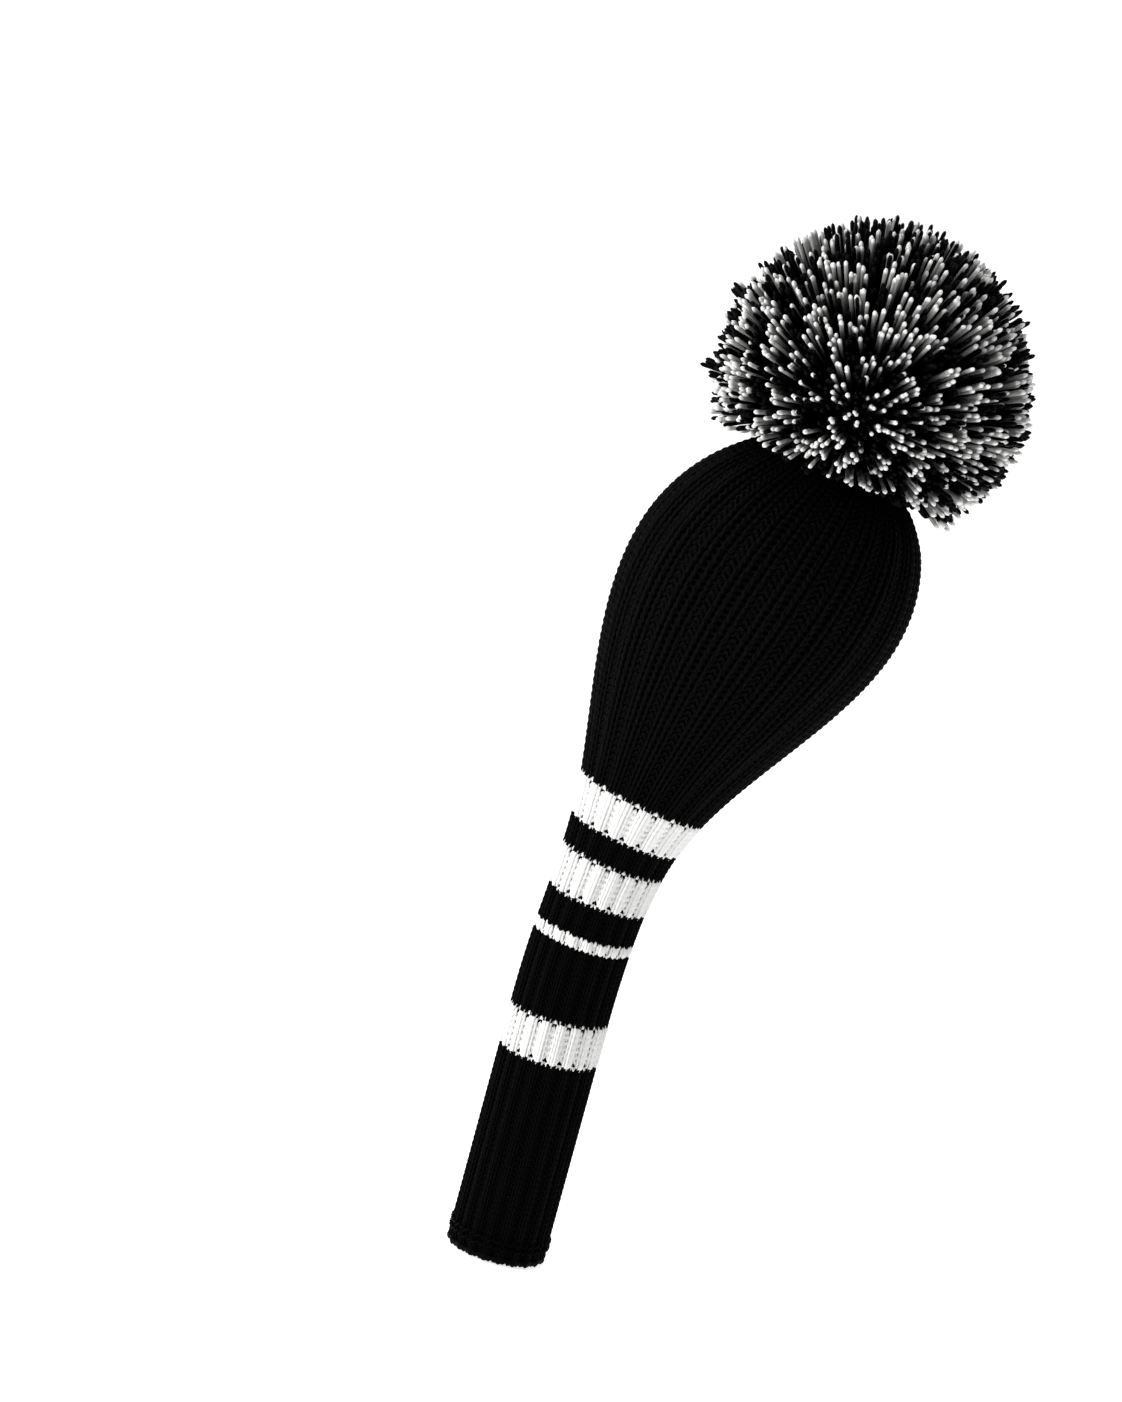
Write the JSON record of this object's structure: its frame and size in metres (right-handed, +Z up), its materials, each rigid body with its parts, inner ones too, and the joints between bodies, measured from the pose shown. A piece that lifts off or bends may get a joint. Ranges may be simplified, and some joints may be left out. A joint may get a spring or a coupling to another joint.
{
  "type": "driver head cover",
  "caption": "Knitted golf club head cover with a long striped neck, a rounded head and a two-tone yarn pom-pom.",
  "frame": {"origin": "centre of the neck opening, in the plane of the hem", "axes": "+Z up the neck, along the club's shaft towards the head; the neck and head curve towards +X; +Y is the side away from the open front view"},
  "size_m": [0.1495, 0.134, 0.4725],
  "materials": {
    "black_yarn": "matte ribbed acrylic knit and cut yarn",
    "white_yarn": "matte ribbed acrylic knit and cut yarn",
    "lining_yarn": "matte plain knit",
    "tie_cord": "matte twisted yarn",
    "button_plastic": "satin moulded plastic"
  },
  "bodies": {
    "neck_cuff": {"black_cuff": "black_yarn", "white_band_4": "white_yarn", "cuff_lining": "lining_yarn", "hem_stitch": "black_yarn", "black_band_3": "black_yarn", "bend_lining": "lining_yarn"},
    "sock": {"white_band_3": "white_yarn", "black_band_2": "black_yarn", "white_band_2": "white_yarn", "black_band_1": "black_yarn", "white_band_1": "white_yarn", "neck_lining": "lining_yarn", "head_knit": "black_yarn", "head_lining": "lining_yarn", "crown_drawstring": "black_yarn"},
    "anchor": {"anchor_button": "button_plastic", "anchor_knot": "tie_cord", "tie_tails": "tie_cord"},
    "tie": {"tie_shank": "tie_cord"},
    "pom": {"tie_wrap": "black_yarn", "pom_black_yarn": "black_yarn", "pom_white_yarn": "white_yarn"}
  },
  "joints": [
    {"name": "neck_bend", "type": "hinge", "parent": "neck_cuff", "child": "sock", "pos_m": [0.00028, 0, 0.1256], "axis": [0, 1, 0], "range_deg": [-22, 22], "deforming": ["black_band_3", "bend_lining"]},
    {"name": "pom_twist", "type": "hinge", "parent": "sock", "child": "anchor", "pos_m": [0.0523, 0, 0.38028], "axis": [0.1994, 0, 0.9799], "range_deg": [-60, 60], "stiffness_Nm_per_rad": 0.02},
    {"name": "pom_lean_side", "type": "hinge", "parent": "anchor", "child": "tie", "pos_m": [0.0523, 0, 0.38028], "axis": [0, 1, 0], "range_deg": [-7, 7], "stiffness_Nm_per_rad": 0.3},
    {"name": "pom_lean_fore", "type": "hinge", "parent": "tie", "child": "pom", "pos_m": [0.0523, 0, 0.38028], "axis": [0.9799, 0, -0.1994], "range_deg": [-7, 7], "stiffness_Nm_per_rad": 0.3}
  ]
}
